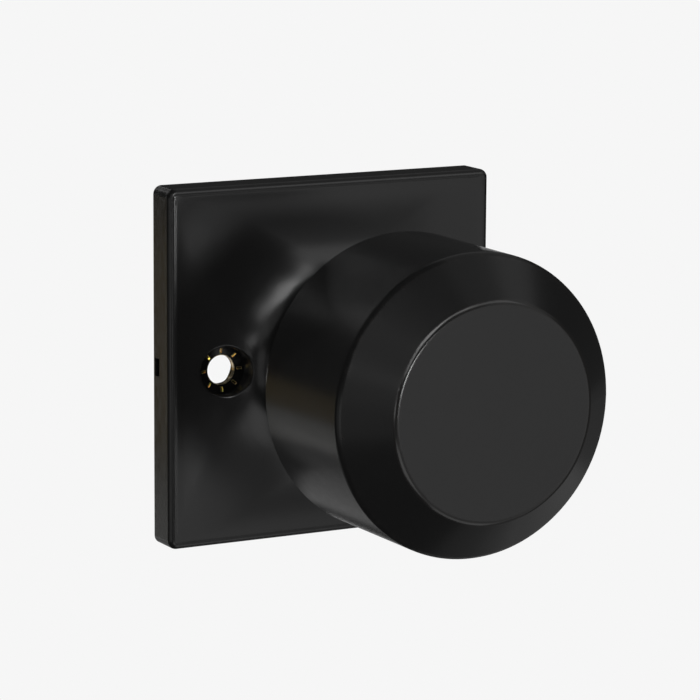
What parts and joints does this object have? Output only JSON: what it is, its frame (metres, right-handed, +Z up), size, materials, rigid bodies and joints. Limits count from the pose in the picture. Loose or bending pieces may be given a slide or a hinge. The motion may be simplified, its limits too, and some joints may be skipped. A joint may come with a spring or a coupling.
{
  "type": "passage door knob",
  "caption": "Round bevelled door knob turning on a square rose, with a spring cage, through-bolt seats and a square spindle socket.",
  "frame": {"origin": "on the knob's turning axis, in the plane of the door's face", "axes": "+Y into the door along the turning axis, +Z up, +X to the right seen from the front"},
  "size_m": [0.0666, 0.0722, 0.0666],
  "materials": {
    "satin_black": "satin black baked coating",
    "yellow_zinc": "yellow zinc plated",
    "bright_zinc": "bright zinc plated",
    "sintered_steel": "oiled sintered steel",
    "screw_steel": "black oxide",
    "spring_steel": "oil tempered",
    "die_cast_zinc": "as cast",
    "black_nylon": "moulded",
    "natural_nylon": "moulded"
  },
  "bodies": {
    "rose_set": {"rose": "satin_black", "screw_seats": "yellow_zinc", "mounting_plate": "yellow_zinc", "spring_cage": "bright_zinc", "cage_rivets": "bright_zinc", "neck_bushing": "black_nylon", "rear_bushing": "natural_nylon", "thrust_washer": "natural_nylon", "return_spring": "spring_steel"},
    "knob": {"knob_shell": "satin_black", "knob_back_plate": "satin_black", "knob_core": "die_cast_zinc", "knob_shank": "satin_black", "drive_hub": "sintered_steel", "hub_pins": "sintered_steel", "knob_set_screw": "screw_steel", "core_screw": "screw_steel", "spring_driver": "bright_zinc", "cone_washer": "spring_steel", "snap_ring": "spring_steel"}
  },
  "joints": [
    {"name": "knob_turn", "type": "hinge", "parent": "rose_set", "child": "knob", "pos_m": [0, 0, 0], "axis": [0, 1, 0], "range_deg": [-50, 50], "stiffness_Nm_per_rad": 0.4, "deforming": ["return_spring"]}
  ]
}
